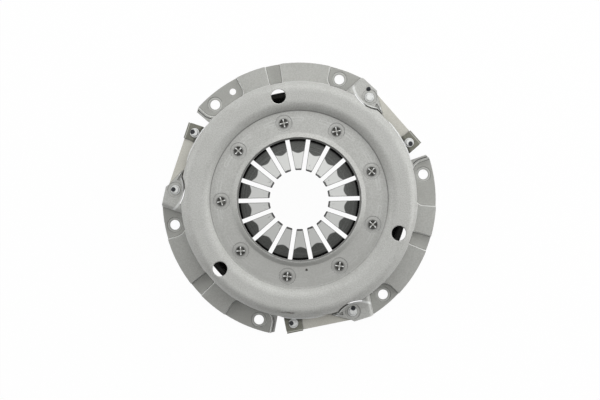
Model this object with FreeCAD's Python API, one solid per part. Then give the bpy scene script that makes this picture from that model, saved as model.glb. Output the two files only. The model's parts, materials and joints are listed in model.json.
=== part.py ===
import FreeCAD, Part
import math
import os
from FreeCAD import Vector

# Clutch pressure plate with its cover, diaphragm spring and drive straps.
# Lengths are in millimetres and angles in degrees. Z runs along the clutch axis, away from the flywheel.
# The origin is the centre of the bolt circle, on the face that sits on the flywheel.

# The cover repeats three times round the axis
sectors = 3

# Cover sheet and flange
sheet = 3.2
flange_reach = 19.8
raised_step = 4.2
lug_rise = 15.2
sheet_bend = 1.5
root_bend = 1.2

# Flywheel bolts and dowel
bolt_edge = 9.0
bolt_count = 6
bolt_first_angle = 11.5
bolt_hole_d = 9.0
bolt_coin_width = 2.1
dowel_angle = 121.6
dowel_hole_d = 6.0
coin_depth = 0.35
coin_groove_r = 0.45

# Cover crown, measured on its top skin from the recessed ring outwards
crown_height = 40.0
ring_outer_r = 79.1
ring_width = 19.7
ring_step = 5.55
ring_bend = 0.8
ring_wall_run = 3.2
crown_width = 21.9
crown_bend = 6.5
shoulder_bend = 6.0
wall_draft = 4.6
lip_width = 4.1
lip_rise = 2.5
window_top = 25.0

# Angles of one third of the flange, from its window round to the next
window_angle = 19.5
tip_angle = 44.3
lug_end_angle = 68.0
bolt_pad_end_angle = 76.6
narrow_pad_start_angle = 98.2
narrow_pad_end_angle = 104.2
long_pad_start_angle = 117.4
end_band_angle = 2.2

# Pads pressed down into the flange
pad_wall_angle = 78.0
bolt_pad_corner = 8.0
narrow_pad_corner = 2.0
long_pad_corner = 6.0
end_pad_corner = 9.0
end_chamfer = 2.4
crease_gap = 1.2
crease_width = 0.9
crease_depth = 1.8

# Cover lug that carries the drive strap, measured from its rivet
lug_step_angle = 86.0
lug_bend = 0.4
lug_far = 18.0
lug_far_reach = 7.3
lug_reach = 9.1
lug_nose = 4.0
lug_nose_reach = 6.2
lug_chamfer = 1.3
lug_coin_d = 13.4
slit_width = 1.2
slit_start_angle = 45.2
slit_end_angle = 62.0
slit_gap = 0.4
scallop_r = 26.0
scallop_gap = 8.8
pocket_depth = 1.3
pocket_angles = (51.0, 51.0, 46.6)
pocket_insets = (4.6, 1.6, 1.6)
window_corner = 4.0

# Holes through the crown over the plate's edge
access_hole_d = 13.0
access_setback = 10.6
access_angle = 101.3
access_chamfer = 0.7

# Fulcrum rings and their rivets
fulcrum_setback = 4.1
wire_d = 3.2
fulcrum_clearance = 0.25
fulcrum_rivet_count = 9
fulcrum_rivet_angle = 21.3
fulcrum_rivet_setback = 6.2
fulcrum_shank_d = 6.4
fulcrum_shoulder_d = 8.8
fulcrum_head_d = 8.2
fulcrum_head_height = 1.8
fulcrum_head_chamfer = 0.4
stake_pits = 4
stake_arm_width = 1.0
stake_rim = 0.35
stake_corner = 0.4
stake_depth = 1.3
stake_angles = (50, 11, 13, 47, 16, 2, 85, 82, 46)
fulcrum_foot_d = 14.2
fulcrum_foot_height = 2.0
fulcrum_boss_d = 15.0

# Diaphragm spring
finger_count = 18
first_slot_angle = 1.3
diaphragm_t = 2.3
cone_angle = 12.0
tip_circle_d = 52.1
rim_overhang = 2.5
slot_width = 3.8
eye_d = 10.4
finger_split = 0.3
tip_corner = 0.9

# Pressure plate
plate_gap = 5.58
face_width = 32.0
plate_thickness = 9.7
friction_face_height = 4.5
ridge_setback = 9.0
ridge_crest_radius = 2.0
ridge_base_width = 9.0
ridge_clearance = 0.1
plate_chamfer = 1.0
plate_travel = 5.0
plate_lug_t = 6.3
plate_lug_corner = 3.0
plate_lug_overhang = 7.4
plate_lug_half_width = 7.0

# Drive straps and their rivets
leaf_t = 0.8
leaf_count = 3
strap_width = 14.5
strap_end = 7.6
strap_corner = 2.0
strap_wall_gap = 5.3
strap_cover_angle = 55.5
strap_plate_angle = 27.4
strap_shank_d = 6.0
strap_head_d = 8.4
strap_head_height = 1.8
strap_brim_height = 0.7
strap_button_d = 5.4
strap_button_lean = 0.5
strap_foot_height = 1.5
rivet_hole_clearance = 0.1

# Retraction clips
clip_t = 1.4
clip_overhang = 8.1
clip_half_width = 7.3
clip_arm_width = 15.0
clip_rim_gap = 3.3
clip_riser_lean = 2.2
clip_clearance = 0.3
clip_bend = 1.0


def wall_r(z):
    """Radius of the crown's outer wall, on its top skin, at height z."""
    return crown_outer_r + (crown_height - z) * math.tan(math.radians(wall_draft))


# Heights and radii of the cover that follow
pad_top = sheet
raised_top = pad_top + raised_step
lug_top = lug_rise + sheet
ring_top = crown_height - ring_step
ring_under = ring_top - sheet
lip_top = ring_top + lip_rise
lip_bend_r = ring_outer_r - ring_width
lip_edge_r = lip_bend_r - lip_width
crown_inner_r = ring_outer_r + ring_wall_run
crown_outer_r = crown_inner_r + crown_width
flange_r = crown_outer_r + flange_reach
bolt_r = flange_r - bolt_edge
access_r = crown_inner_r + access_setback

# Heights and radii of the fulcrum, the diaphragm spring and the plate
fulcrum_r = ring_outer_r - fulcrum_setback
eye_r = fulcrum_r - fulcrum_rivet_setback
upper_wire_z = ring_under - wire_d / 2
pivot_z = upper_wire_z - wire_d / 2 - fulcrum_clearance - diaphragm_t / 2
lower_wire_z = pivot_z - diaphragm_t / 2 - fulcrum_clearance - wire_d / 2
foot_top = lower_wire_z - wire_d / 2
finger_angle = 360.0 / finger_count
cone = math.radians(cone_angle)
plate_top = friction_face_height + plate_thickness
plate_r = wall_r(plate_top) - sheet - plate_gap
bore_r = plate_r - face_width
ridge_r = plate_r - ridge_setback
rim_r = ridge_r + rim_overhang
tip_r = tip_circle_d / 2
hinge_r = fulcrum_r * (1 + math.cos(math.radians(finger_angle / 2))) / 2
contact_r = ridge_r * (1 + math.cos(math.radians(finger_angle / 2))) / 2
end_cone = cone - plate_travel / (contact_r - hinge_r)
rim_under = pivot_z - (ridge_r - hinge_r) * math.tan(cone) - diaphragm_t / 2 / math.cos(cone)
ridge_top = rim_under - ridge_clearance

# Straps and clips, in the strap's own frame: X out from the axis, Y along the strap
strap_top = lug_rise
strap_bottom = strap_top - leaf_count * leaf_t
clip_top = strap_top + clip_t
strap_rivet_r = wall_r(lug_top) + strap_wall_gap
strap_mid_angle = (strap_cover_angle + strap_plate_angle) / 2
strap_half_angle = math.radians(strap_cover_angle - strap_plate_angle) / 2
strap_line_r = strap_rivet_r * math.cos(strap_half_angle)
strap_half_length = strap_rivet_r * math.sin(strap_half_angle)
lug_edge = strap_half_length + lug_far
lug_seam = lug_edge - lug_far / 2

# How far cutting shapes run past what they cut, how close two points count as one, and the kind of
# outline offset that keeps corners sharp
margin = 5.0
same_place = 1e-6
sharp_corners = 2

Z_AXIS = Vector(0, 0, 1)
ORIGIN = Vector(0, 0, 0)


def polar(radius, angle, z=0.0):
    """Point at a radius and an angle round the clutch axis."""
    a = math.radians(angle)
    return Vector(radius * math.cos(a), radius * math.sin(a), z)


def turned(shape, angle):
    """Copy of a shape, turned round the clutch axis."""
    copy = shape.copy()
    copy.rotate(ORIGIN, Z_AXIS, angle)
    return copy


def repeated(shape, count, first_angle=0.0):
    """Copies of a shape, evenly spaced round the clutch axis."""
    return [turned(shape, first_angle + 360.0 / count * i) for i in range(count)]


def cylinder(radius, z0, z1, centre=ORIGIN):
    """Upright cylinder between two heights."""
    return Part.makeCylinder(radius, z1 - z0, Vector(centre.x, centre.y, z0))


def box(x0, x1, y0, y1, z0, z1):
    """Box between two corners."""
    return Part.makeBox(x1 - x0, y1 - y0, z1 - z0, Vector(x0, y0, z0))


def prism(points, z0, z1):
    """Straight-sided prism over a flat outline, between two heights."""
    corners = [Vector(p.x, p.y, z0) for p in points]
    face = Part.Face(Part.makePolygon(corners + corners[:1]))
    return face.extrude(Vector(0, 0, z1 - z0))


def lathed(outline):
    """Solid turned round the Z axis, from the radii and heights of its outline."""
    points = [Vector(radius, 0, z) for radius, z in outline]
    return Part.Face(Part.makePolygon(points + points[:1])).revolve(ORIGIN, Z_AXIS, 360)


def upright_edges(shape):
    """Edges of a shape that run straight up."""
    found = []
    for edge in shape.Edges:
        low = edge.Vertexes[0].Point
        high = edge.Vertexes[-1].Point
        if abs(low.z - high.z) > same_place and math.hypot(low.x - high.x, low.y - high.y) < same_place:
            found.append(edge)
    return found


def rounded_line(points, radii):
    """Edges of an open line in the XZ plane, its inner corners rounded by tangent arcs."""
    edges = []
    start = points[0]
    for before, corner, after, radius in zip(points, points[1:], points[2:], radii):
        u = (before - corner).normalize()
        v = (after - corner).normalize()
        half = math.acos(max(-1.0, min(1.0, u.dot(v)))) / 2
        middle = (u + v).normalize()
        centre = corner + middle * (radius / math.sin(half))
        entry = corner + u * (radius / math.tan(half))
        leave = corner + v * (radius / math.tan(half))
        edges.append(Part.makeLine(start, entry))
        edges.append(Part.Arc(entry, centre - middle * radius, leave).toShape())
        start = leave
    edges.append(Part.makeLine(start, points[-1]))
    return edges


def sheet_section(outline, bends, thickness):
    """Section of bent sheet in the XZ plane, from the corners of its top skin and its inside bend radii."""
    top = [Vector(x, 0, z) for x, z in outline]
    normals = []
    for a, b in zip(top, top[1:]):
        run = (b - a).normalize()
        normals.append(Vector(run.z, 0, -run.x))
    under = [top[0] + normals[0] * thickness]
    top_radii = []
    under_radii = []
    for corner, before, after, bend in zip(top[1:], normals, normals[1:], bends):
        under.append(corner + (before + after) * (thickness / (1 + before.dot(after))))
        rises = before.z * after.x - before.x * after.z < 0
        top_radii.append(bend if rises else bend + thickness)
        under_radii.append(bend + thickness if rises else bend)
    under.append(top[-1] + normals[-1] * thickness)
    edges = rounded_line(top, top_radii)
    edges += [Part.makeLine(top[-1], under[-1])]
    edges += rounded_line(under, under_radii)
    edges += [Part.makeLine(under[0], top[0])]
    return Part.Face(Part.Wire(Part.__sortEdges__(edges)))


def revolved(face, start, end):
    """Solid of revolution between two angles."""
    return turned(face.revolve(ORIGIN, Z_AXIS, end - start), start)


def cover_section(level, bend):
    """Section of the wall and the flange, whose top skin lies at one level."""
    outline = [(wall_r(window_top), window_top), (wall_r(level), level), (flange_r, level)]
    return sheet_section(outline, [bend], sheet)


def wall_section(bottom):
    """Section of the crown's wall alone, down to one height."""
    return sheet_section([(wall_r(window_top), window_top), (wall_r(bottom), bottom)], [], sheet)


def crown():
    """Lip, recessed ring, crown and the upper part of the outer wall."""
    outline = [
        (lip_edge_r, lip_top),
        (lip_bend_r, ring_top),
        (ring_outer_r, ring_top),
        (crown_inner_r, crown_height),
        (crown_outer_r, crown_height),
        (wall_r(window_top), window_top),
    ]
    bends = [sheet_bend, ring_bend, crown_bend, shoulder_bend]
    return revolved(sheet_section(outline, bends, sheet), 0, 360)


def wall_core(inset):
    """Solid inside the crown's wall, from under the flange to the windows' tops."""
    low = wall_r(-margin) - inset
    high = wall_r(window_top) - inset
    return Part.makeCone(low, high, window_top + margin, Vector(0, 0, -margin))


def pad_outline(start, end, corners):
    """Outline of a pad between two angles, open to the rim, its inner corners rounded."""
    inner = wall_r(pad_top) - sheet / 2
    outer = flange_r + margin
    middle = (start + end) / 2
    arc = Part.Arc(polar(inner, start), polar(inner, middle), polar(inner, end)).toShape()
    sides = Part.makePolygon([polar(inner, end), polar(outer, end), polar(outer, start),
                              polar(inner, start)])
    blank = Part.Face(Part.Wire([arc] + sides.Edges)).extrude(Z_AXIS)
    for angle, radius in zip((start, end), corners):
        place = polar(inner, angle)
        edge = [e for e in upright_edges(blank) if e.distToShape(Part.Vertex(place))[0] < same_place]
        blank = blank.makeFillet(radius + sheet / 2, edge)
    return min(blank.Faces, key=lambda face: face.CenterOfMass.z).OuterWire


def grown(outline, growth, height):
    """Outline grown sideways and set at a height."""
    wire = outline.makeOffset2D(growth, sharp_corners) if abs(growth) > same_place else outline.copy()
    wire.translate(Vector(0, 0, height))
    return wire


def pad_loft(outline, low, high, offset):
    """Solid with a pad's sloped sides between two heights, its outline moved sideways by an offset."""
    lean = 1 / math.tan(math.radians(pad_wall_angle))
    wires = [grown(outline, offset + (z - pad_top) * lean, z) for z in (low, high)]
    return Part.makeLoft(wires, True, True)


def across_strap(section):
    """Solid of a section along the strap, drawn out through the flange and put in its place."""
    inner = plate_r - margin
    solid = turned(section, 90).extrude(Vector(flange_r + margin - inner, 0, 0))
    solid.translate(Vector(inner, 0, 0))
    return turned(solid, strap_mid_angle)


def beside_lug(low, high):
    """Everything between two lines across the strap."""
    return turned(box(0.0, 2 * flange_r, low, high, -margin, crown_height), strap_mid_angle)


def lug_step(rim):
    """Wall between the lug and the bolt pad, with the crown's wall behind it."""
    run = (lug_top - pad_top) / math.tan(math.radians(lug_step_angle)) / 2
    outline = [(lug_seam, lug_top), (lug_edge - run, lug_top), (lug_edge + run, pad_top),
               (lug_edge + margin, pad_top)]
    strip = across_strap(sheet_section(outline, [lug_bend, lug_bend], sheet))
    middle = [Vector(x, 0, z - sheet / 2) for x, z in outline]
    floor = [Vector(middle[-1].x, 0, -margin), Vector(middle[0].x, 0, -margin)]
    below = across_strap(Part.Face(Part.makePolygon(middle + floor + middle[:1])))
    wall = revolved(wall_section(0.0), slit_end_angle, lug_end_angle).cut(below)
    return [strip.cut(wall_core(sheet)).common(rim), wall.common(rim)]


def flange_third():
    """One third of the wall's lower part and the flange, between two windows."""
    rim = cylinder(flange_r, 0.0, crown_height)
    next_window = window_angle + 360.0 / sectors
    lug_plate = revolved(cover_section(lug_top, sheet_bend), tip_angle, lug_end_angle)
    foot = lug_edge + margin - sheet / 2
    pads = [
        pad_outline(slit_end_angle, bolt_pad_end_angle, (narrow_pad_corner, bolt_pad_corner)),
        pad_outline(narrow_pad_start_angle, narrow_pad_end_angle, (narrow_pad_corner, narrow_pad_corner)),
        pad_outline(long_pad_start_angle, next_window - end_band_angle, (long_pad_corner, end_pad_corner)),
    ]
    skin = sheet / math.sin(math.radians(pad_wall_angle))
    bodies = [pad_loft(pad, 0.0, raised_top, skin) for pad in pads]
    hollows = [pad_loft(pad, pad_top, raised_top + margin, 0.0) for pad in pads]
    bodies[0] = bodies[0].common(beside_lug(foot, 2 * flange_r))
    hollows[0] = hollows[0].common(beside_lug(foot, 2 * flange_r))
    raised = revolved(cover_section(raised_top, root_bend), lug_end_angle, next_window)
    pieces = [body.common(rim).cut(wall_core(sheet)) for body in bodies]
    pieces += lug_step(rim)
    pieces.append(lug_plate.common(beside_lug(-flange_r, lug_seam + sheet / 2)))
    third = raised.multiFuse(pieces)
    cuts = [hollow.cut(wall_core(0.0)) for hollow in hollows]
    return third.cut(cuts + [pad_crease(pads[2], next_window), end_corner(next_window)])


def pad_crease(outline, next_window):
    """Groove in the end band, along the long pad's rounded end."""
    lean = raised_step / math.tan(math.radians(pad_wall_angle))
    outer = Part.Face(grown(outline, lean + crease_gap + crease_width, raised_top - crease_depth))
    inner = Part.Face(grown(outline, lean + crease_gap, raised_top - crease_depth))
    band = outer.cut(inner).extrude(Vector(0, 0, crease_depth + margin))
    reach = 2 * flange_r
    wedge = prism([ORIGIN, polar(reach, next_window - 2 * end_band_angle), polar(reach, next_window)],
                  0.0, crown_height)
    return band.common(wedge).cut(cylinder(wall_r(raised_top) + crease_gap, 0.0, crown_height))


def end_corner(next_window):
    """What is cut off the flange's outer corner at the window."""
    band = next_window - end_band_angle
    outside = 2 * flange_r
    return prism([polar(flange_r, band), polar(flange_r - end_chamfer, next_window),
                  polar(outside, next_window), polar(outside, band)], -margin, crown_height)


def lug_trim():
    """What is cut off the strap lug, beyond its straight edges over the strap."""
    tip = turned(Part.Vertex(polar(wall_r(lug_top), tip_angle)), -strap_mid_angle).Point
    edge = [
        Vector(tip.x, tip.y, 0),
        Vector(strap_line_r + lug_nose_reach, strap_half_length - lug_nose, 0),
        Vector(strap_line_r + lug_reach, strap_half_length, 0),
        Vector(strap_line_r + lug_far_reach, lug_edge - lug_chamfer, 0),
        Vector(strap_line_r + lug_far_reach - lug_chamfer, lug_edge, 0),
    ]
    far = 2 * flange_r
    below = Vector(tip.x, tip.y - margin, 0)
    outside = [Vector(far, lug_edge, 0), Vector(far, tip.y - margin, 0)]
    return turned(prism([below] + edge + outside, -margin, window_top), strap_mid_angle)


def scallop_cone(bottom, growth):
    """Cone that clears the strap rivet from a height up, as steep as the crown's wall."""
    centre = polar(strap_rivet_r - scallop_gap + scallop_r, strap_cover_angle, bottom)
    steep = math.tan(math.radians(wall_draft))
    base = scallop_r + growth + (bottom - lug_top) * steep
    height = crown_height - bottom
    return Part.makeCone(base, base + height * steep, height, centre)


def scallop_sheet():
    """Sheet of the crown's wall where it bows in to clear the strap rivet."""
    skin = [Vector(crown_inner_r, 0, crown_height), Vector(crown_outer_r, 0, crown_height),
            Vector(wall_r(lug_rise), 0, lug_rise)]
    foot = Vector(crown_inner_r, 0, lug_rise)
    edges = rounded_line(skin, [shoulder_bend + sheet]) + Part.makePolygon([skin[-1], foot, skin[0]]).Edges
    inside = Part.Face(Part.Wire(Part.__sortEdges__(edges))).revolve(ORIGIN, Z_AXIS, 360)
    return scallop_cone(lug_rise, sheet).common(inside)


def lug_slit():
    """Slit between the strap lug and the crown's wall, which bows in round the rivet."""
    centre = polar(strap_rivet_r - scallop_gap + scallop_r, strap_cover_angle)
    discs = []
    for gap in (slit_gap + slit_width, slit_gap):
        disc = cylinder(wall_r(lug_top) + gap, 0.0, window_top)
        discs.append(disc.cut(cylinder(scallop_r - gap, 0.0, window_top, centre)))
    wedge = prism([ORIGIN, polar(2 * flange_r, slit_start_angle), polar(2 * flange_r, slit_end_angle)],
                  0.0, window_top)
    return discs[0].cut(discs[1]).common(wedge)


def window_gusset(angle, side):
    """Round of one upper corner of a window, filled in at one side of an angle."""
    bottom = window_top - window_corner
    inner_angle = angle + side * math.degrees(window_corner / wall_r(bottom))
    corner = revolved(wall_section(bottom), min(angle, inner_angle), max(angle, inner_angle))
    drill = Part.makeCylinder(window_corner, flange_r, Vector(0, 0, bottom), polar(1.0, inner_angle))
    return corner.cut(drill)


def lug_pocket():
    """Three-cornered hollow pressed into the lug beside the slit."""
    inner = wall_r(lug_top) + slit_gap
    corners = [polar(inner + inset, angle, lug_top)
               for inset, angle in zip(pocket_insets, pocket_angles)]
    return prism(corners, lug_top - pocket_depth, window_top)


def coined_hole(centre, hole_r, coin_r, seat):
    """Hole with a coined ring round it, edged by a fine groove."""
    hole = cylinder(hole_r, -margin, seat + margin, centre)
    coin = cylinder(coin_r, seat - coin_depth, seat + margin, centre)
    groove = Part.makeTorus(coin_r, coin_groove_r, Vector(centre.x, centre.y, seat))
    return hole.multiFuse([coin, groove])


def cover_cuts():
    """Holes, coined rings and slits of the cover."""
    bolt = coined_hole(Vector(bolt_r, 0, 0), bolt_hole_d / 2, bolt_hole_d / 2 + bolt_coin_width, pad_top)
    cuts = repeated(bolt, bolt_count, bolt_first_angle)
    cuts.append(cylinder(dowel_hole_d / 2, -margin, lug_top, polar(bolt_r, dowel_angle)))
    access = cylinder(access_hole_d / 2, window_top, crown_height + margin, Vector(access_r, 0, 0))
    bevel = Part.makeCone(access_hole_d / 2, access_hole_d / 2 + 2 * access_chamfer, 2 * access_chamfer,
                          Vector(access_r, 0, crown_height - access_chamfer))
    cuts += repeated(access.fuse(bevel), sectors, access_angle)
    rivet_centre = Vector(eye_r, 0, 0)
    shank = cylinder(fulcrum_shank_d / 2, ring_under - margin, ring_top + margin, rivet_centre)
    boss = cylinder(fulcrum_boss_d / 2, ring_top - coin_depth, ring_top + margin, rivet_centre)
    cuts += repeated(shank.fuse(boss), fulcrum_rivet_count, fulcrum_rivet_angle)
    strap_hole = coined_hole(Vector(strap_rivet_r, 0, 0), strap_shank_d / 2 + rivet_hole_clearance,
                             lug_coin_d / 2, lug_top)
    cuts += repeated(strap_hole, sectors, strap_cover_angle)
    for shape in (lug_trim(), lug_slit(), scallop_cone(lug_top, 0.0), lug_pocket()):
        cuts += repeated(shape, sectors)
    return cuts


def cover_shell():
    """Pressed cover: crown, flange, holes and slits in one sheet."""
    gussets = window_gusset(window_angle, 1).fuse(window_gusset(tip_angle, -1))
    thirds = []
    for piece in (flange_third(), scallop_sheet(), gussets):
        thirds += repeated(piece, sectors)
    return crown().multiFuse(thirds).removeSplitter().cut(cover_cuts())


def fulcrum_ring(height):
    """Round wire ring that the diaphragm spring rocks on."""
    return Part.makeTorus(fulcrum_r, wire_d / 2, Vector(0, 0, height))


def staked_pits(top):
    """Four pits that the staking tool leaves in a rivet's head, with a cross standing between them."""
    reach = fulcrum_head_d / 2 - stake_rim
    arm = stake_arm_width / 2
    pit = box(arm, reach, arm, reach, top - stake_depth, top + margin)
    pit = pit.common(cylinder(reach, 0.0, top + margin))
    return repeated(pit.makeFillet(stake_corner, upright_edges(pit)), stake_pits)


def fulcrum_rivets():
    """Shouldered rivets that hold both rings and the diaphragm spring under the cover."""
    seat = ring_top - coin_depth
    top = seat + fulcrum_head_height
    outline = [
        (0, foot_top - fulcrum_foot_height),
        (fulcrum_foot_d / 2, foot_top - fulcrum_foot_height),
        (fulcrum_foot_d / 2, foot_top),
        (fulcrum_shoulder_d / 2, foot_top),
        (fulcrum_shoulder_d / 2, ring_under),
        (fulcrum_shank_d / 2, ring_under),
        (fulcrum_shank_d / 2, seat),
        (fulcrum_head_d / 2, seat),
        (fulcrum_head_d / 2, top - fulcrum_head_chamfer),
        (fulcrum_head_d / 2 - fulcrum_head_chamfer, top),
        (0, top),
    ]
    blank = lathed(outline).cut(staked_pits(top))
    pitch = 360.0 / fulcrum_rivet_count
    rivets = []
    for i in range(fulcrum_rivet_count):
        angle = fulcrum_rivet_angle + pitch * i
        rivet = turned(blank, stake_angles[i % len(stake_angles)])
        rivet.translate(polar(eye_r, angle))
        rivets.append(rivet)
    return Part.makeCompound(rivets)


def strap_rivet(seat, foot):
    """Rivet with a brimmed button head, between the face under its head and the face over its foot."""
    button = strap_button_d / 2
    outline = [
        (0, foot - strap_foot_height),
        (strap_head_d / 2, foot - strap_foot_height),
        (strap_head_d / 2, foot),
        (strap_shank_d / 2, foot),
        (strap_shank_d / 2, seat),
        (strap_head_d / 2, seat),
        (strap_head_d / 2, seat + strap_brim_height),
        (button + strap_button_lean, seat + strap_brim_height),
        (button, seat + strap_head_height),
        (0, seat + strap_head_height),
    ]
    rivet = lathed(outline)
    rivet.translate(Vector(strap_rivet_r, 0, 0))
    return rivet


def finger():
    """One lever of the diaphragm spring, centred on the X axis: rim, eyes, slots and tip."""
    half = finger_angle / 2
    top = pivot_z + rim_r
    reach = rim_r * 2
    wedge = prism([ORIGIN, polar(reach, -half), polar(reach, half)], 0.0, top)
    blank = wedge.common(cylinder(rim_r, 0.0, top)).cut(cylinder(tip_r, 0.0, top))
    slot = box(0.0, eye_r, -slot_width / 2, slot_width / 2, 0.0, top)
    split = box(eye_r, reach, -finger_split / 2, finger_split / 2, 0.0, top)
    gap = slot.fuse([split, cylinder(eye_d / 2, 0.0, top, Vector(eye_r, 0, 0))])
    blank = blank.cut([turned(gap, half), turned(gap, -half)])
    corners = [edge for edge in upright_edges(blank)
               if math.hypot(edge.Vertexes[0].X, edge.Vertexes[0].Y) < tip_r + tip_corner]
    blank = blank.makeFillet(tip_corner, corners)
    slab = box(-reach, reach, -reach, reach, -diaphragm_t / 2, diaphragm_t / 2)
    slab.rotate(ORIGIN, Vector(0, 1, 0), cone_angle)
    slab.translate(Vector(hinge_r, 0, pivot_z))
    return blank.common(slab)


def plate_lug():
    """Cast ear of the pressure plate under the strap's moving end, in the strap's own frame."""
    y = -strap_half_length
    half = plate_lug_half_width
    ear = box(plate_r - 2 * plate_lug_corner, strap_line_r + plate_lug_overhang, y - half, y + half,
              strap_bottom - plate_lug_t, strap_bottom)
    outer = [edge for edge in upright_edges(ear) if edge.Vertexes[0].X > strap_line_r]
    ear = ear.makeFillet(plate_lug_corner, outer)
    root = box(bore_r + ridge_base_width, plate_r + plate_lug_corner, y - half, y + half,
               friction_face_height + plate_chamfer, strap_bottom)
    hole = cylinder(strap_shank_d / 2, 0.0, window_top, Vector(strap_line_r, y, 0))
    return turned(ear.fuse(root).cut(hole), strap_mid_angle)


def pressure_plate():
    """Cast ring with its friction face, the ridge that the spring bears on, and three ears."""
    face = friction_face_height
    c = plate_chamfer
    half_base = ridge_base_width / 2
    crest = ridge_crest_radius
    spring = ridge_top - crest
    outline = Part.makePolygon([
        Vector(ridge_r + crest, 0, spring),
        Vector(ridge_r + half_base, 0, plate_top),
        Vector(plate_r - c, 0, plate_top),
        Vector(plate_r, 0, plate_top - c),
        Vector(plate_r, 0, face + c),
        Vector(plate_r - c, 0, face),
        Vector(bore_r + c, 0, face),
        Vector(bore_r, 0, face + c),
        Vector(bore_r, 0, plate_top - c),
        Vector(bore_r + c, 0, plate_top),
        Vector(ridge_r - half_base, 0, plate_top),
        Vector(ridge_r - crest, 0, spring),
    ])
    crest_arc = Part.Arc(Vector(ridge_r - crest, 0, spring), Vector(ridge_r, 0, ridge_top),
                         Vector(ridge_r + crest, 0, spring))
    section = Part.Face(Part.Wire(outline.Edges + [crest_arc.toShape()]))
    ring = section.revolve(ORIGIN, Z_AXIS, 360)
    return ring.multiFuse(repeated(plate_lug(), sectors)).removeSplitter()


def drive_strap():
    """Stack of flat spring-steel leaves between the cover's lug and the plate's ear."""
    leaves = []
    for i in range(leaf_count):
        z = strap_bottom + i * leaf_t
        end = strap_half_length + strap_end
        leaf = box(strap_line_r - strap_width / 2, strap_line_r + strap_width / 2, -end, end, z, z + leaf_t)
        leaf = leaf.makeFillet(strap_corner, upright_edges(leaf))
        for y in (-strap_half_length, strap_half_length):
            hole = cylinder(strap_shank_d / 2 + rivet_hole_clearance, z - margin, z + margin,
                            Vector(strap_line_r, y, 0))
            leaf = leaf.cut(hole)
        leaves.append(turned(leaf, strap_mid_angle))
    return Part.makeCompound(leaves)


def retraction_clip():
    """Spring clip over the strap's end, whose hook pulls the plate back with the diaphragm's rim."""
    y = -strap_half_length
    base = box(strap_line_r - clip_half_width, strap_line_r + clip_overhang, y - clip_half_width,
               y + clip_half_width, strap_top, clip_top)
    riser_r = rim_r + clip_rim_gap
    rim_rise = (rim_r - hinge_r) * math.tan(-end_cone) + diaphragm_t / 2 / math.cos(end_cone)
    hook_top = pivot_z + rim_rise - plate_travel + clip_clearance + clip_t
    outline = [(ridge_r, hook_top), (riser_r, hook_top), (riser_r + clip_riser_lean, clip_top),
               (strap_rivet_r, clip_top)]
    arm = sheet_section(outline, [clip_bend, clip_bend], clip_t).extrude(Vector(0, clip_arm_width, 0))
    arm.translate(Vector(0, -clip_arm_width / 2, 0))
    hole = cylinder(strap_shank_d / 2, 0.0, window_top, polar(strap_rivet_r, strap_plate_angle))
    clip = turned(base, strap_mid_angle).fuse(turned(arm, strap_plate_angle))
    return clip.cut(hole).removeSplitter()


def export(name, shape):
    """Write one sub-part."""
    shape.exportStep(os.path.join("parts", name + ".step"))


os.makedirs("parts", exist_ok=True)
export("cover_shell", cover_shell())
export("upper_fulcrum_ring", fulcrum_ring(upper_wire_z))
export("lower_fulcrum_ring", fulcrum_ring(lower_wire_z))
export("fulcrum_rivets", fulcrum_rivets())
cover_rivet = strap_rivet(lug_top - coin_depth, strap_bottom)
export("cover_strap_rivets", Part.makeCompound(repeated(cover_rivet, sectors, strap_cover_angle)))
plate_rivet = strap_rivet(clip_top, strap_bottom - plate_lug_t)
export("plate_strap_rivets", Part.makeCompound(repeated(plate_rivet, sectors, strap_plate_angle)))
export("pressure_plate", pressure_plate())
straps = repeated(drive_strap(), sectors)
clips = repeated(retraction_clip(), sectors)
for letter, strap, clip in zip("abc", straps, clips):
    export("drive_strap_" + letter, strap)
    export("retraction_clip_" + letter, clip)
first_finger_angle = first_slot_angle + finger_angle / 2
for number, lever in enumerate(repeated(finger(), finger_count, first_finger_angle), start=1):
    export("diaphragm_finger_%02d" % number, lever)
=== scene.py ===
"""Clutch pressure plate in its cover: looks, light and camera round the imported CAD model."""

import json
import math

import bmesh
import bpy
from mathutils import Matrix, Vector


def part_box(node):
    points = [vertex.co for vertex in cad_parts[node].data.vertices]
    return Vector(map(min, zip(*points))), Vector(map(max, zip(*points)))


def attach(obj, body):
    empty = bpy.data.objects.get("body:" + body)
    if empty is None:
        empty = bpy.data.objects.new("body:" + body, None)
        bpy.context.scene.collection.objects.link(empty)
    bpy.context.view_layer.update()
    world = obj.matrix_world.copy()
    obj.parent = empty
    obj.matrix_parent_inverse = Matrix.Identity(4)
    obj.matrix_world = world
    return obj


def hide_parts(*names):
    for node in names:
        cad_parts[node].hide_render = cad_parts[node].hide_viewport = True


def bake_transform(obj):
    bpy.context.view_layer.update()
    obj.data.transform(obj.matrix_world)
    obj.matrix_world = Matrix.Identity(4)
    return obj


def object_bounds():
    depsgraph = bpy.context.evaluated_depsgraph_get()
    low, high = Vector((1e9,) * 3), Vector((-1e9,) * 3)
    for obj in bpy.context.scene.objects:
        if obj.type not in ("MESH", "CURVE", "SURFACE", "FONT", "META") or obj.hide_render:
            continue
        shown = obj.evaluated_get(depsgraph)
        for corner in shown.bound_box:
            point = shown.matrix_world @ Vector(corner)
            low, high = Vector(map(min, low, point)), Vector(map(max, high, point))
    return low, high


# Lengths are in metres, angles in degrees
MM = 0.001

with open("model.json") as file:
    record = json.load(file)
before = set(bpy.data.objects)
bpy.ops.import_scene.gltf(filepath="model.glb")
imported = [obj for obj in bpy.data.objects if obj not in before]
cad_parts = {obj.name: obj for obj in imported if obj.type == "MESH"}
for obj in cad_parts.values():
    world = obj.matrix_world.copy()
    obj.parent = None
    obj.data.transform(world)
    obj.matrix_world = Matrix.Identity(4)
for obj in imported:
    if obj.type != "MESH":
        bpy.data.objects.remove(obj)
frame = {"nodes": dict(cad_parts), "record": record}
cad_box = [list(corner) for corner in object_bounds()]

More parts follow.
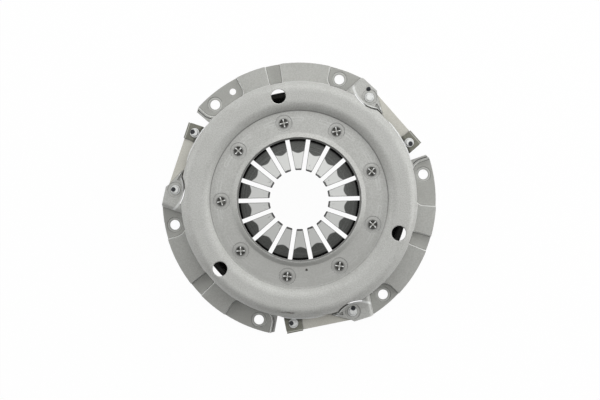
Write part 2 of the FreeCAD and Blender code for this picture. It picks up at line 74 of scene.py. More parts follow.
# Camera, straight above the clutch; Blender wants the sensor's width in millimetres
CAMERA_HEIGHT = 1.260
CAMERA_OFFSET = (0.8 * MM, -0.4 * MM)
VIEW_WIDTH = 545.9 * MM
SENSOR_WIDTH = 36.0
CLIP_NEAR = 0.05
CLIP_FAR = 10.0

# Floor: half its side, its gap under the clutch, its grey, and how much of it shows white; and the world
FLOOR_HALF = 4.0
FLOOR_GAP = 0.2 * MM
FLOOR_GREY = 0.82
FLOOR_GLOW = 0.97
WORLD_STRENGTH = 0.17

# Every metal: its rounded edges, lightened partly as wear and partly as painted highlight, its creases
# darkened as painted shade, its grain, and the noise that its tone follows
EDGE_R = 0.45 * MM
EDGE_SAMPLES = 6
EDGE_TONE = 1.5
WEAR_AND_HIGHLIGHT_RANGE = (0.80, 0.98)
CREASE_SHADE_SAMPLES = 12
CREASE_SHADE_TONE = 0.12
CREASE_SHADE_RANGE = (0.45, 0.95)
GRAIN_DEPTH = 0.1 * MM
GRAIN_RANGE = (0.3, 0.7)
PATCH_SHARE = 0.15
TONE_RANGE = (0.38, 0.62)

# Pattern of the fingers: slots, polished part (a little off centre), rubbed tips, and the painted shadow
# under the cover's lip
FINGER_COUNT = 18
FIRST_SLOT_ANGLE = 1.3
SLOT_HALF_WIDTH = 1.9 * MM
SPRING_METALLIC = 0.3
POLISH_MID_R = 41.6 * MM
POLISH_EDGE_R = 46.0 * MM
POLISH_POWER = 1.8
POLISH_HALF_BLUR = 0.5 * MM
POLISH_SHIFT = 1.4 * MM
POLISH_SHIFT_ANGLE = 196.5
TIP_WEAR_R = 27.9 * MM
TIP_SMUDGE_R = 31.0 * MM
LIP_SHADOW_R = 51.75 * MM
LIP_SHADOW_HALF_BLUR = 0.55 * MM

# Recessed ring of the cover, its rivets and the shallow marks pressed beside them
RIVET_COUNT = 9
RIVET_ANGLE = 21.3
RIVET_CIRCLE_R = 68.8 * MM
RIVET_PITS_R = 3.5 * MM
RIVET_RIM = 0.3 * MM
RING_EDGE_R = 78.9 * MM
LIP_EDGE_R = 55.3 * MM
# Band over which the painted shade on the lip's inner wall fades in
LIP_SHADE_BAND = 0.4 * MM
MARK_TURN = 9.5
MARK_R = 71.6 * MM
MARK_HALF_LENGTH = 5.0 * MM
MARK_HALF_WIDTH = 1.3 * MM

# Drive straps: the angle that each lies across, its line, its ends and its cuts
SECTORS = 3
STRAP_ANGLE = 41.45
STRAP_LINE_R = 107.87 * MM
STRAP_HALF_LENGTH = 27.0 * MM
STRAP_HEAD_R = 4.2 * MM
STRAP_CUTS = 28
CUT_TOLERANCE = 0.001 * MM

# Windows of the cover's wall: where they lie, and how close to their top the wall's points are taken from
WINDOW_ANGLE = 31.5
WINDOW_HALF_ANGLE = 11.0
WINDOW_TOP = 25.0 * MM
WINDOW_BAND = 0.1 * MM

# Flared edge over each window: its outset and thin ends as shares of its radius, and how often one taper
# goes into its length
LIP_R = 0.8 * MM
LIP_STEPS = 48
LIP_SIDES = 10
LIP_OUTSET = 0.3
LIP_THIN_END = 0.1
LIP_TAPERS = 6

# Strap lugs, the slit round each, and how far inside the slit its painted highlight lies
LUG_ANGLE = 55.5
LUG_LOW = 15.0 * MM
LUG_HIGH = 19.0 * MM
SLIT_CENTRE_R = 128.4 * MM
SLIT_R = 26.0 * MM
LUG_HIGHLIGHT_INSET = 1.5 * MM

# Flange: heights of its pads and of its raised parts, how close to a height counts as flat, the height of the
# wall's foot, and the coined rings round the bolt holes
PAD_TOP = 3.2 * MM
RAISED_TOP = 7.4 * MM
FLAT_BAND = 0.1 * MM
WALL_FOOT = 3 * MM
BOLT_COUNT = 6
BOLT_ANGLE = 11.5
BOLT_CIRCLE_R = 115.0 * MM
BOLT_COIN_R = 5.9 * MM

# Black paint dots beside the strap rivets: angle and radius of each
LUG_DOTS = ((57.9, 117.0 * MM), (175.4, 113.0 * MM), (296.5, 108.8 * MM))
CLIP_DOTS = ((26.6, 111.8 * MM), (147.55, 113.3 * MM), (266.4, 111.1 * MM))
DOT_R = 2.1 * MM
DOT_COLOUR = (0.012, 0.014, 0.018)

# Dark speck on the ring
SPECKS = ((276.0, 62.6 * MM),)
SPECK_R = 1.1 * MM
SPECK_COLOUR = (0.03, 0.028, 0.022)

# Dark scuffs on the crown's shoulder: where they lie, and how far they reach
SCUFF_ANGLE = 263.0
SCUFF_HALF_ANGLE = 5.5
SCUFF_END_ANGLE = 2.0
SCUFF_R = 100.2 * MM
SCUFF_HALF_WIDTH = 1.1 * MM

# Clips: the part beside the cover's wall, which gets a painted shadow, and the painted highlight near the
# edge
CLIP_SHADE_R = 107.0 * MM
CLIP_SHADE_BLUR = 3.5 * MM
CLIP_FOLD = 1.3 * MM


# Shader helpers
def feed(tree, socket, value):
    """Give an input a value, or link another node's socket to it."""
    if isinstance(value, bpy.types.NodeSocket):
        tree.links.new(value, socket)
    else:
        socket.default_value = value


def add(tree, kind, values=None, **settings):
    """New shader node, its inputs given as values or as sockets to link."""
    node = tree.nodes.new(kind)
    for key, setting in settings.items():
        setattr(node, key, setting)
    for key, value in (values or {}).items():
        feed(tree, node.inputs[key], value)
    return node


def calc(tree, operation, *values):
    """Result of a Math node."""
    return add(tree, "ShaderNodeMath", dict(enumerate(values)), operation=operation).outputs[0]


def hypot(tree, a, b):
    """Length of the longest side of a right triangle."""
    squares = calc(tree, "ADD", calc(tree, "MULTIPLY", a, a), calc(tree, "MULTIPLY", b, b))
    return calc(tree, "SQRT", squares)


def apart(tree, a, b):
    """How far two values lie apart."""
    return calc(tree, "ABSOLUTE", calc(tree, "SUBTRACT", a, b))


def spread(tree, value, low, high, new_low, new_high):
    """Value mapped smoothly from one range to another."""
    values = {"Value": value, "From Min": low, "From Max": high, "To Min": new_low, "To Max": new_high}
    return add(tree, "ShaderNodeMapRange", values, interpolation_type="SMOOTHSTEP").outputs["Result"]


def fade_in(tree, value, gone, full, strength=1.0):
    """Nought below one bound, the given strength above the other."""
    return spread(tree, value, gone, full, 0.0, strength)


def fade_out(tree, value, full, gone, strength=1.0):
    """The given strength below one bound, nought above the other."""
    return spread(tree, value, full, gone, strength, 0.0)


def between(tree, value, low, high, blur):
    """One between two bounds, nought outside them."""
    above = fade_in(tree, value, low, low + blur)
    return calc(tree, "MULTIPLY", above, fade_out(tree, value, high - blur, high))


def place(tree):
    """Position on the object, in its own frame."""
    return add(tree, "ShaderNodeTexCoord").outputs["Object"]


def noise(tree, where, scale, detail=3.0, roughness=0.55):
    """Noise whose grains are about one over the scale, in metres."""
    values = {"Vector": where, "Scale": scale, "Detail": detail, "Roughness": roughness}
    return add(tree, "ShaderNodeTexNoise", values).outputs["Fac"]


def polar(tree):
    """Radius, angle and height of a point on the object."""
    x, y, z = add(tree, "ShaderNodeSeparateXYZ", {"Vector": place(tree)}).outputs
    return hypot(tree, x, y), calc(tree, "ARCTAN2", y, x), z


def polar_noise(tree, radial, around, scale, detail, roughness=0.55):
    """Noise laid out by radius and angle, each times its own factor."""
    radius, angle, _ = polar(tree)
    values = {"X": calc(tree, "MULTIPLY", radius, radial), "Y": calc(tree, "MULTIPLY", angle, around)}
    where = add(tree, "ShaderNodeCombineXYZ", values).outputs[0]
    return noise(tree, where, scale, detail, roughness)


def off_turn(tree, angle, first, count):
    """Angle to the nearest of some evenly spaced directions, from nought to half their pitch."""
    pitch = 2 * math.pi / count
    turn = calc(tree, "SUBTRACT", angle, math.radians(first) - pitch / 2)
    return apart(tree, calc(tree, "FLOORED_MODULO", turn, pitch), pitch / 2)


def away_from(tree, centre_r, first, count):
    """Distance from the nearest of some evenly spaced centres on a circle."""
    radius, angle, _ = polar(tree)
    turn = off_turn(tree, angle, first, count)
    along = calc(tree, "SUBTRACT", calc(tree, "MULTIPLY", radius, calc(tree, "COSINE", turn)), centre_r)
    return hypot(tree, along, calc(tree, "MULTIPLY", radius, calc(tree, "SINE", turn)))


def blend_colour(tree, factor, a, b):
    """Colour mixed from two others, each a colour or a socket, at the Mix node's places for colours."""
    ends = [end if isinstance(end, bpy.types.NodeSocket) else (*end, 1.0) for end in (a, b)]
    return add(tree, "ShaderNodeMix", {0: factor, 6: ends[0], 7: ends[1]}, data_type="RGBA").outputs[2]


def metal(name, dark, light, patches, grains, roughness, bump, metallic=0.5, layers=(), edge=None, wear_and_highlight=0.5,
          crease_shade_r=1.4 * MM, crease_shade=0.85):
    """Metal with soft patches, fine grains, painted layers, slightly round edges lightened as wear and as
    painted highlight, and creases darkened as painted shade.
    """
    material = bpy.data.materials.new(name)
    material.use_nodes = True
    tree = material.node_tree
    shader = tree.nodes["Principled BSDF"]
    where = place(tree)
    large = noise(tree, where, patches)
    fine = noise(tree, where, grains, detail=2.0, roughness=0.7)
    tone = calc(tree, "ADD", calc(tree, "MULTIPLY", large, PATCH_SHARE),
                calc(tree, "MULTIPLY", fine, 1 - PATCH_SHARE))
    colour = blend_colour(tree, fade_in(tree, tone, *TONE_RANGE), dark, light)
    for factor, paint in layers:
        colour = blend_colour(tree, factor(tree), colour, paint)
    rounded = add(tree, "ShaderNodeBevel", {"Radius": EDGE_R}, samples=EDGE_SAMPLES).outputs["Normal"]
    flat = add(tree, "ShaderNodeNewGeometry").outputs["Normal"]
    along = add(tree, "ShaderNodeVectorMath", {0: rounded, 1: flat}, operation="DOT_PRODUCT").outputs["Value"]
    # Edges lightened partly as wear and partly as painted highlight, wherever the rounded normal turns from
    # the true one, concave edges too
    worn_and_highlighted = fade_out(tree, along, *WEAR_AND_HIGHLIGHT_RANGE, wear_and_highlight)
    colour = blend_colour(tree, worn_and_highlighted, colour, edge or tuple(min(1.0, EDGE_TONE * value) for value in light))
    # Painted shade: creases, corners and gaps darkened by how closely ambient occlusion finds them hemmed in
    shelter = add(tree, "ShaderNodeAmbientOcclusion", {"Distance": crease_shade_r}, samples=CREASE_SHADE_SAMPLES)
    crease_shaded = fade_out(tree, shelter.outputs["AO"], *CREASE_SHADE_RANGE, crease_shade)
    colour = blend_colour(tree, crease_shaded, colour, tuple(CREASE_SHADE_TONE * value for value in dark))
    feed(tree, shader.inputs["Base Color"], colour)
    feed(tree, shader.inputs["Roughness"], spread(tree, fine, *GRAIN_RANGE, *roughness))
    feed(tree, shader.inputs["Metallic"], metallic)
    values = {"Strength": bump, "Distance": GRAIN_DEPTH, "Height": fine, "Normal": rounded}
    feed(tree, shader.inputs["Normal"], add(tree, "ShaderNodeBump", values).outputs["Normal"])
    return material


def recolour(material, factor, colour):
    """Lay another colour over a material's own, by a factor."""
    tree = material.node_tree
    socket = tree.nodes["Principled BSDF"].inputs["Base Color"]
    old = socket.links[0].from_socket
    feed(tree, socket, blend_colour(tree, factor(tree), old, colour))


# Layers on the spring's fingers and the plate
def polished_zone(tree):
    """One on the polished part of each finger, nought on its dark part, which ends in a round lobe."""
    radius, angle, _ = polar(tree)
    half_pitch = math.pi / FINGER_COUNT
    off_slot = off_turn(tree, angle, FIRST_SLOT_ANGLE, FINGER_COUNT)
    off_middle = calc(tree, "SUBTRACT", 1.0, calc(tree, "DIVIDE", off_slot, half_pitch))
    rise = calc(tree, "POWER", off_middle, POLISH_POWER)
    lobe = calc(tree, "MULTIPLY", rise, POLISH_EDGE_R - POLISH_MID_R)
    turn = calc(tree, "COSINE", calc(tree, "SUBTRACT", angle, math.radians(POLISH_SHIFT_ANGLE)))
    reach = calc(tree, "ADD", calc(tree, "MULTIPLY", turn, POLISH_SHIFT), POLISH_MID_R)
    edge = calc(tree, "SUBTRACT", radius, calc(tree, "ADD", lobe, reach))
    return fade_out(tree, edge, -POLISH_HALF_BLUR, POLISH_HALF_BLUR)


def ground_streaks(tree):
    """Fine rings left by grinding or turning, uneven in strength."""
    rings = polar_noise(tree, radial=1.0, around=1.2 * MM, scale=900, detail=4.0, roughness=0.7)
    return fade_in(tree, rings, gone=0.45, full=0.7, strength=0.45)


def machined_face(tree):
    """One on the plate's turned friction face, weaker in some of its fine rings."""
    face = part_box("pressure_plate")[0][2]
    low = fade_out(tree, polar(tree)[2], full=face + 0.2 * MM, gone=face + 0.5 * MM)
    return calc(tree, "MULTIPLY", low, calc(tree, "SUBTRACT", 1.0, ground_streaks(tree)))


def tip_wear(tree):
    """Dark rub marks at the very tip of each finger, and a few smudges behind it."""
    radius = polar(tree)[0]
    uneven = calc(tree, "MULTIPLY", noise(tree, place(tree), scale=500), 1.2 * MM)
    edge = calc(tree, "ADD", radius, uneven)
    tip = fade_out(tree, edge, full=TIP_WEAR_R, gone=TIP_WEAR_R + 0.6 * MM, strength=0.95)
    blots = polar_noise(tree, radial=0.35, around=TIP_SMUDGE_R, scale=700, detail=2.0)
    smudge = fade_in(tree, blots, gone=0.60, full=0.68, strength=0.5)
    near = fade_out(tree, radius, full=TIP_SMUDGE_R, gone=TIP_SMUDGE_R + 2 * MM)
    return calc(tree, "MAXIMUM", tip, calc(tree, "MULTIPLY", smudge, near))


def by_lip_shadow(tree, unshaded, shadowed):
    """One value on the open part of the fingers, another close to the cover's lip and under it, where their
    shadow is painted.
    """
    return spread(tree, polar(tree)[0], LIP_SHADOW_R - LIP_SHADOW_HALF_BLUR, LIP_SHADOW_R + LIP_SHADOW_HALF_BLUR, unshaded, shadowed)


def lip_shadow(tree):
    """Painted shadow: black on the fingers close to the cover's lip and under it, where the lip shades them.
    """
    return by_lip_shadow(tree, unshaded=0.0, shadowed=0.99)


def dull_lip_shadow(material):
    """Take the shine off the painted shadow on the fingers: fully metallic, it reflects only its own black.
    """
    tree = material.node_tree
    metallic = by_lip_shadow(tree, unshaded=SPRING_METALLIC, shadowed=1.0)
    feed(tree, tree.nodes["Principled BSDF"].inputs["Metallic"], metallic)


def finger_side_shade(tree):
    """Painted shade: thin dark line along both sides of each finger, on the edges where the slots were
    sheared.
    """
    radius, angle, _ = polar(tree)
    off_slot = calc(tree, "SINE", off_turn(tree, angle, FIRST_SLOT_ANGLE, FINGER_COUNT))
    inside = calc(tree, "SUBTRACT", calc(tree, "MULTIPLY", radius, off_slot), SLOT_HALF_WIDTH)
    return fade_out(tree, inside, full=0.15 * MM, gone=0.7 * MM, strength=0.75)


# Layers on the cover
def ring_mark_highlights(tree):
    """Painted highlight on the outlines of the shallow oblong marks pressed into the ring on both sides of
    each rivet.
    """
    radius, angle, _ = polar(tree)
    off_mark = apart(tree, off_turn(tree, angle, RIVET_ANGLE, RIVET_COUNT), math.radians(MARK_TURN))
    past_end = calc(tree, "SUBTRACT", calc(tree, "MULTIPLY", off_mark, MARK_R), MARK_HALF_LENGTH)
    past_end = calc(tree, "MAXIMUM", past_end, 0.0)
    aside = calc(tree, "SUBTRACT", radius, MARK_R)
    off_line = apart(tree, hypot(tree, past_end, aside), MARK_HALF_WIDTH)
    return fade_out(tree, off_line, full=0.1 * MM, gone=0.55 * MM, strength=0.3)


def ring_edge_shade(tree):
    """Painted shade: thin dark line where the crown rises from the ring, thicker on the +Y side, where that
    slope faces away from the light.
    """
    radius, angle, _ = polar(tree)
    line = fade_out(tree, apart(tree, radius, RING_EDGE_R), full=0.1 * MM, gone=0.8 * MM)
    amount = spread(tree, calc(tree, "SINE", angle), low=-0.7, high=0.2, new_low=0.25, new_high=0.65)
    return calc(tree, "MULTIPLY", line, amount)


def ring_tilt_shade(tree):
    """Painted shade on the ring, darkest on the -Y side, where a ring rising slightly towards the lip would
    face away from the light.
    """
    radius, angle, _ = polar(tree)
    on_ring = between(tree, radius, LIP_EDGE_R, RING_EDGE_R, blur=2 * MM)
    amount = spread(tree, calc(tree, "SINE", angle), low=-1.0, high=0.4, new_low=0.55, new_high=0.05)
    return calc(tree, "MULTIPLY", on_ring, amount)


def lip_wall_shade(tree):
    """Painted shade on the sheared inner wall of the cover's lip, above the dark gap over the fingers."""
    return fade_out(tree, polar(tree)[0], full=LIP_EDGE_R - LIP_SHADE_BAND, gone=LIP_EDGE_R, strength=0.7)


def lug_slit_highlight(tree):
    """Painted highlight: bright band on each strap lug along its slit, where the lug's edge catches the
    light.
    """
    height = polar(tree)[2]
    off_line = apart(tree, away_from(tree, SLIT_CENTRE_R, LUG_ANGLE, SECTORS), SLIT_R - LUG_HIGHLIGHT_INSET)
    band = fade_out(tree, off_line, full=0.5 * MM, gone=1.6 * MM, strength=0.75)
    above = calc(tree, "GREATER_THAN", height, LUG_LOW)
    below = calc(tree, "LESS_THAN", height, LUG_HIGH)
    return calc(tree, "MULTIPLY", band, calc(tree, "MULTIPLY", above, below))


def pad_wall_highlights(tree):
    """Painted highlight on the sloping sides of the flange's pads and on the foot of the crown's wall."""
    height = polar(tree)[2]
    pads = between(tree, height, PAD_TOP + FLAT_BAND, RAISED_TOP - FLAT_BAND, blur=0.3 * MM)
    foot = between(tree, height, RAISED_TOP + FLAT_BAND, RAISED_TOP + WALL_FOOT, blur=0.4 * MM)
    return calc(tree, "MAXIMUM", calc(tree, "MULTIPLY", pads, 0.9), calc(tree, "MULTIPLY", foot, 0.6))


def bolt_coin_highlights(tree):
    """Painted highlight on the rims of the rings pressed flat round the bolt holes."""
    off_line = apart(tree, away_from(tree, BOLT_CIRCLE_R, BOLT_ANGLE, BOLT_COUNT), BOLT_COIN_R)
    rim = fade_out(tree, off_line, full=0.2 * MM, gone=0.7 * MM, strength=0.3)
    return calc(tree, "MULTIPLY", rim, calc(tree, "LESS_THAN", polar(tree)[2], RAISED_TOP))


def flange_darkening(tree):
    """Slightly darker colour on the flange, darkest on its pads."""
    height = polar(tree)[2]
    amount = spread(tree, height, PAD_TOP + 0.3 * MM, PAD_TOP + 1 * MM, new_low=0.55, new_high=0.3)
    on_flange = fade_out(tree, height, full=RAISED_TOP + 1 * MM, gone=RAISED_TOP + 4 * MM)
    return calc(tree, "MULTIPLY", amount, on_flange)


def scuffs(tree):
    """Short dark scuffs in one place on the crown's shoulder."""
    radius, angle, _ = polar(tree)
    blots = polar_noise(tree, radial=1.6, around=0.35 * SCUFF_R, scale=420, detail=2.0)
    marks = fade_in(tree, blots, gone=0.42, full=0.52, strength=0.85)
    across = fade_out(tree, apart(tree, radius, SCUFF_R), full=0.2 * MM, gone=SCUFF_HALF_WIDTH)
    along = fade_out(tree, off_turn(tree, angle, SCUFF_ANGLE, 1),
                     full=math.radians(SCUFF_HALF_ANGLE - SCUFF_END_ANGLE),
                     gone=math.radians(SCUFF_HALF_ANGLE))
    return calc(tree, "MULTIPLY", marks, calc(tree, "MULTIPLY", across, along))


def paint_dots(spots, size=DOT_R):
    """Function that is one inside some uneven round dots."""
    def factor(tree):
        where = place(tree)
        x, y, _ = add(tree, "ShaderNodeSeparateXYZ", {"Vector": where}).outputs
        uneven = calc(tree, "MULTIPLY", noise(tree, where, scale=700), 1.2 * MM)
        shown = None
        for angle, radius in spots:
            dx = calc(tree, "SUBTRACT", x, radius * math.cos(math.radians(angle)))
            dy = calc(tree, "SUBTRACT", y, radius * math.sin(math.radians(angle)))
            away = calc(tree, "ADD", hypot(tree, dx, dy), uneven)
            dot = fade_out(tree, away, full=size + 0.4 * MM, gone=size + 0.8 * MM)
            shown = dot if shown is None else calc(tree, "MAXIMUM", shown, dot)
        return shown
    return factor


# Layers on the clips and the rivets
def clip_shade(tree):
    """Painted shadow on each clip beside the cover's wall."""
    end = CLIP_SHADE_R + CLIP_SHADE_BLUR
    return fade_out(tree, polar(tree)[0], full=CLIP_SHADE_R, gone=end, strength=0.8)


def clip_fold_highlight(tree):
    """Painted highlight: light line just inside the outer edge of each clip, on its fold."""
    clip = frame["nodes"]["retraction_clip_a"].data
    outward = Vector((math.cos(math.radians(STRAP_ANGLE)), math.sin(math.radians(STRAP_ANGLE)), 0))
    edge = max(vertex.co @ outward for vertex in clip.vertices)
    radius, angle, _ = polar(tree)
    turn = off_turn(tree, angle, STRAP_ANGLE, SECTORS)
    reach = calc(tree, "MULTIPLY", radius, calc(tree, "COSINE", turn))
    return fade_out(tree, apart(tree, reach, edge - CLIP_FOLD), full=0.1 * MM, gone=0.6 * MM, strength=0.75)


def off_rivet(tree):
    """Distance from the middle of the nearest fulcrum rivet."""
    return away_from(tree, RIVET_CIRCLE_R, RIVET_ANGLE, RIVET_COUNT)


def arm_end_highlights(tree):
    """Painted highlight on the ends of the crosses on the fulcrum rivets."""
    return fade_in(tree, off_rivet(tree), gone=1.6 * MM, full=3.0 * MM, strength=0.9)


def staked_pits(tree):
    """One in the pits of the fulcrum rivets' heads, less on the rim round them, nought on the crosses."""
    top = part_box("fulcrum_rivets")[1][2]
    rim = fade_in(tree, off_rivet(tree), gone=RIVET_PITS_R, full=RIVET_PITS_R + RIVET_RIM, strength=0.8)
    pits = fade_out(tree, polar(tree)[2], full=top - 0.7 * MM, gone=top - 0.3 * MM)
    return calc(tree, "MAXIMUM", rim, pits)


def pit_spots(tree):
    """Patches of bare metal at the bottom of the pits."""
    blots = noise(tree, place(tree), scale=420, detail=2.0)
    bare = fade_in(tree, blots, gone=0.50, full=0.62, strength=0.7)
    inside = fade_out(tree, off_rivet(tree), full=RIVET_PITS_R - RIVET_RIM, gone=RIVET_PITS_R)
    return calc(tree, "MULTIPLY", calc(tree, "MULTIPLY", bare, inside), staked_pits(tree))


# Materials
def materials():
    """Every finish of the object, by the record's material slot."""
    made = {
        "pressed_steel": metal(
            "pressed_steel", dark=(0.405, 0.405, 0.385), light=(0.51, 0.515, 0.495),
            patches=60, grains=1000, roughness=(0.50, 0.65), bump=0.3, metallic=0.2,
            layers=((flange_darkening, (0.27, 0.27, 0.25)),
                    (ring_mark_highlights, (0.70, 0.71, 0.70)),
                    (ring_tilt_shade, (0.30, 0.30, 0.285)),
                    (ring_edge_shade, (0.10, 0.10, 0.095)),
                    (scuffs, (0.10, 0.09, 0.075)),
                    (lip_wall_shade, (0.11, 0.11, 0.105)),
                    (lug_slit_highlight, (0.78, 0.79, 0.78)),
                    (bolt_coin_highlights, (0.78, 0.79, 0.77)),
                    (pad_wall_highlights, (0.80, 0.81, 0.79))),
            edge=(0.88, 0.89, 0.88), wear_and_highlight=0.6, crease_shade_r=1.1 * MM, crease_shade=0.8),
        "wire_steel": metal(
            "wire_steel", dark=(0.30, 0.30, 0.29), light=(0.44, 0.44, 0.43),
            patches=80, grains=900, roughness=(0.35, 0.5), bump=0.2),
        "rivet_steel": metal(
            "rivet_steel", dark=(0.64, 0.65, 0.64), light=(0.76, 0.77, 0.76),
            patches=200, grains=1500, roughness=(0.35, 0.5), bump=0.2, metallic=0.2, crease_shade_r=2 * MM),
        "strap_steel": metal(
            "strap_steel", dark=(0.48, 0.47, 0.42), light=(0.57, 0.56, 0.51),
            patches=90, grains=1200, roughness=(0.4, 0.55), bump=0.15, metallic=0.25),
        "clip_steel": metal(
            "clip_steel", dark=(0.14, 0.14, 0.115), light=(0.21, 0.21, 0.175),
            patches=120, grains=1000, roughness=(0.4, 0.55), bump=0.2,
            layers=((clip_fold_highlight, (0.5, 0.5, 0.46)),
                    (clip_shade, (0.02, 0.02, 0.016))),
            edge=(0.5, 0.5, 0.46), crease_shade_r=4 * MM),
        "spring_steel": metal(
            "spring_steel", dark=(0.05, 0.052, 0.048), light=(0.08, 0.082, 0.077),
            patches=70, grains=1100, roughness=(0.42, 0.55), bump=0.3, metallic=SPRING_METALLIC,
            layers=((ground_streaks, (0.15, 0.155, 0.15)),
                    (polished_zone, (0.595, 0.60, 0.585)),
                    (tip_wear, (0.04, 0.04, 0.04)),
                    (finger_side_shade, (0.08, 0.08, 0.08)),
                    (lip_shadow, (0.004, 0.004, 0.004))),
            edge=(0.10, 0.10, 0.095), wear_and_highlight=0.75),
        "cast_iron": metal(
            "cast_iron", dark=(0.05, 0.05, 0.045), light=(0.10, 0.10, 0.095),
            patches=90, grains=700, roughness=(0.55, 0.75), bump=0.6,
            layers=((machined_face, (0.36, 0.36, 0.35)),)),
    }
    recolour(made["pressed_steel"], paint_dots(LUG_DOTS), DOT_COLOUR)
    recolour(made["pressed_steel"], paint_dots(SPECKS, SPECK_R), SPECK_COLOUR)
    dull_lip_shadow(made["spring_steel"])
    return made


def dress(finishes):
    """Give each CAD node the finish of its slot in the record."""
    for part in frame["record"]["subparts"]:
        node = frame["nodes"][part["node"]]
        node.data.materials.clear()
        node.data.materials.append(finishes[part["material_slot"]])


def rivet_finishes(finishes):
    """Darker steel with darkened staked pits and rim for the fulcrum rivets, and paint dots on the straps'
    rivets.
    """
    staked = metal(
        "rivet_steel_staked", dark=(0.28, 0.28, 0.265), light=(0.42, 0.42, 0.40),
        patches=900, grains=1600, roughness=(0.4, 0.55), bump=0.3, metallic=0.3,
        layers=((arm_end_highlights, (0.80, 0.81, 0.80)),
                (staked_pits, (0.05, 0.05, 0.04)),
                (pit_spots, (0.20, 0.20, 0.18))),
        wear_and_highlight=0.3)
    dotted = finishes["rivet_steel"].copy()
    dotted.name = "rivet_steel_dotted"
    recolour(dotted, paint_dots(LUG_DOTS + CLIP_DOTS), DOT_COLOUR)
    by_node = {"fulcrum_rivets": staked, "cover_strap_rivets": dotted, "plate_strap_rivets": dotted}
    for node, finish in by_node.items():
        frame["nodes"][node].data.materials[0] = finish


def highlit_sheared_steel():
    """Bright steel of the windows' flared edges: bare sheared metal, lightened further as painted highlight.
    """
    return metal(
        "pressed_steel_sheared_highlit", dark=(0.68, 0.69, 0.68), light=(0.80, 0.81, 0.80),
        patches=300, grains=1500, roughness=(0.4, 0.55), bump=0.3, metallic=0.1, crease_shade=0.0)


# Pieces
def strap_leaves(letter, sector, finish):
    """A drive strap's leaves, cut across many times, shown in place of the CAD node."""
    node = "drive_strap_" + letter
    mesh = frame["nodes"][node].data.copy()
    turn = math.radians(STRAP_ANGLE + 360.0 / SECTORS * sector)
    middle = Vector((math.cos(turn), math.sin(turn), 0)) * STRAP_LINE_R
    along = Vector((-math.sin(turn), math.cos(turn), 0))
    reach = STRAP_HALF_LENGTH - STRAP_HEAD_R
    leaves = bmesh.new()
    leaves.from_mesh(mesh)
    for cut in range(STRAP_CUTS + 1):
        bmesh.ops.bisect_plane(
            leaves, geom=leaves.verts[:] + leaves.edges[:] + leaves.faces[:],
            plane_co=middle + along * (2 * reach * cut / STRAP_CUTS - reach), plane_no=along,
            dist=CUT_TOLERANCE)
    leaves.to_mesh(mesh)
    leaves.free()
    mesh.materials.clear()
    mesh.materials.append(finish)
    piece = bpy.data.objects.new("strap_leaves_" + letter, mesh)
    bpy.context.scene.collection.objects.link(piece)
    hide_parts(node)
    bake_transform(piece)


def window_lip(letter, sector, finish):
    """Flared, bright sheared edge of the cover's wall over a window, thinning out at both ends; its
    brightness is partly painted highlight.
    """
    cover = frame["nodes"]["cover_shell"].data
    at_window = [vertex.co.xy for vertex in cover.vertices if abs(vertex.co.z - WINDOW_TOP) < WINDOW_BAND]
    centre_r = max(point.length for point in at_window) + LIP_R * LIP_OUTSET
    centre_z = WINDOW_TOP + LIP_R
    lip = bmesh.new()
    rings = []
    for step in range(LIP_STEPS + 1):
        share = step / LIP_STEPS
        turn = math.radians(WINDOW_ANGLE + WINDOW_HALF_ANGLE * (2 * share - 1) + 360.0 / SECTORS * sector)
        size = LIP_R * max(LIP_THIN_END, min(1.0, LIP_TAPERS * share, LIP_TAPERS * (1 - share)))
        ring = []
        for corner in range(LIP_SIDES):
            lean = 2 * math.pi * corner / LIP_SIDES
            out = centre_r + size * math.cos(lean)
            height = centre_z + size * math.sin(lean)
            ring.append(lip.verts.new((out * math.cos(turn), out * math.sin(turn), height)))
        rings.append(ring)
    for ring, after in zip(rings, rings[1:]):
        for corner in range(LIP_SIDES):
            beside = (corner + 1) % LIP_SIDES
            lip.faces.new((ring[corner], ring[beside], after[beside], after[corner])).smooth = True
    lip.faces.new(reversed(rings[0]))
    lip.faces.new(rings[-1])
    bmesh.ops.recalc_face_normals(lip, faces=lip.faces[:])
    mesh = bpy.data.meshes.new("window_lip_" + letter)
    lip.to_mesh(mesh)
    lip.free()
    mesh.materials.append(finish)
    piece = bpy.data.objects.new("window_lip_" + letter, mesh)
    bpy.context.scene.collection.objects.link(piece)
    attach(piece, "cover")


# Light, floor and camera
def area_light(name, location, size, power):
    """Soft lamp aimed at the middle of the object."""
    lamp = bpy.data.lights.new(name, "AREA")
    lamp.shape = "RECTANGLE"
    lamp.size, lamp.size_y = size
    lamp.energy = power
    holder = bpy.data.objects.new(name, lamp)
    holder.location = location
    holder.rotation_euler = (-Vector(location)).to_track_quat("-Z", "Y").to_euler()
    bpy.context.scene.collection.objects.link(holder)


def studio():
    """Even world light, a broad lamp beyond the photo's top edge, one to each side and one overhead."""
    world = bpy.data.worlds.new("studio")
    bpy.context.scene.world = world
    world.use_nodes = True
    background = world.node_tree.nodes["Background"]
    background.inputs["Color"].default_value = (1.0, 1.0, 1.0, 1.0)
    background.inputs["Strength"].default_value = WORLD_STRENGTH
    area_light("key", location=(0.35, 1.5, 0.9), size=(2.6, 0.8), power=22)
    area_light("left", location=(-1.5, 0.2, 0.6), size=(0.9, 0.6), power=9)
    area_light("right", location=(1.5, 0.0, 0.6), size=(0.9, 0.6), power=12)
    area_light("overhead", location=(0.0, 0.3, 1.9), size=(1.6, 1.6), power=12.4)


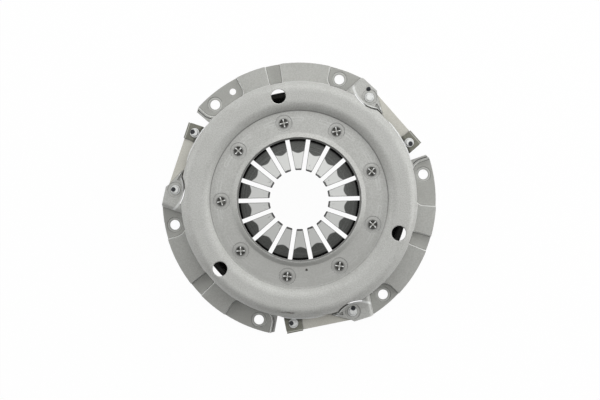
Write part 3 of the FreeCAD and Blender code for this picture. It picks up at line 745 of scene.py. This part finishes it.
def floor():
    """Floor that shows white to the camera, in gloss and through glass, and keeps a soft shadow."""
    z = cad_box[0][2] - FLOOR_GAP
    corners = [(x * FLOOR_HALF, y * FLOOR_HALF, z) for x, y in ((-1, -1), (1, -1), (1, 1), (-1, 1))]
    mesh = bpy.data.meshes.new("floor")
    mesh.from_pydata(corners, [], [(0, 1, 2, 3)])
    ground = bpy.data.objects.new("floor", mesh)
    bpy.context.scene.collection.objects.link(ground)
    material = bpy.data.materials.new("floor_white")
    material.use_nodes = True
    tree = material.node_tree
    tree.nodes.clear()
    path = add(tree, "ShaderNodeLightPath")
    seen = calc(tree, "MAXIMUM", path.outputs["Is Camera Ray"], path.outputs["Is Glossy Ray"])
    seen = calc(tree, "MAXIMUM", seen, path.outputs["Is Transmission Ray"])
    matt = add(tree, "ShaderNodeBsdfDiffuse", {"Color": (FLOOR_GREY, FLOOR_GREY, FLOOR_GREY, 1.0)})
    glow = add(tree, "ShaderNodeEmission", {"Color": (1.0, 1.0, 1.0, 1.0), "Strength": 1.0})
    share = calc(tree, "MULTIPLY", seen, FLOOR_GLOW)
    mix = add(tree, "ShaderNodeMixShader", {0: share, 1: matt.outputs[0], 2: glow.outputs[0]})
    add(tree, "ShaderNodeOutputMaterial", {"Surface": mix.outputs[0]})
    mesh.materials.append(material)


def camera():
    """Camera above the clutch, with the photo's field of view."""
    data = bpy.data.cameras.new("camera")
    data.sensor_width = SENSOR_WIDTH
    data.lens = SENSOR_WIDTH * CAMERA_HEIGHT / VIEW_WIDTH
    data.clip_start = CLIP_NEAR
    data.clip_end = CLIP_FAR
    holder = bpy.data.objects.new("camera", data)
    holder.location = (*CAMERA_OFFSET, CAMERA_HEIGHT)
    bpy.context.scene.collection.objects.link(holder)
    bpy.context.scene.camera = holder


finishes = materials()
dress(finishes)
rivet_finishes(finishes)
sheared = highlit_sheared_steel()
for number, letter in enumerate("abc"):
    strap_leaves(letter, number, finishes["strap_steel"])
    window_lip(letter, number, sheared)
studio()
floor()
camera()
bpy.context.scene.view_settings.view_transform = "Standard"
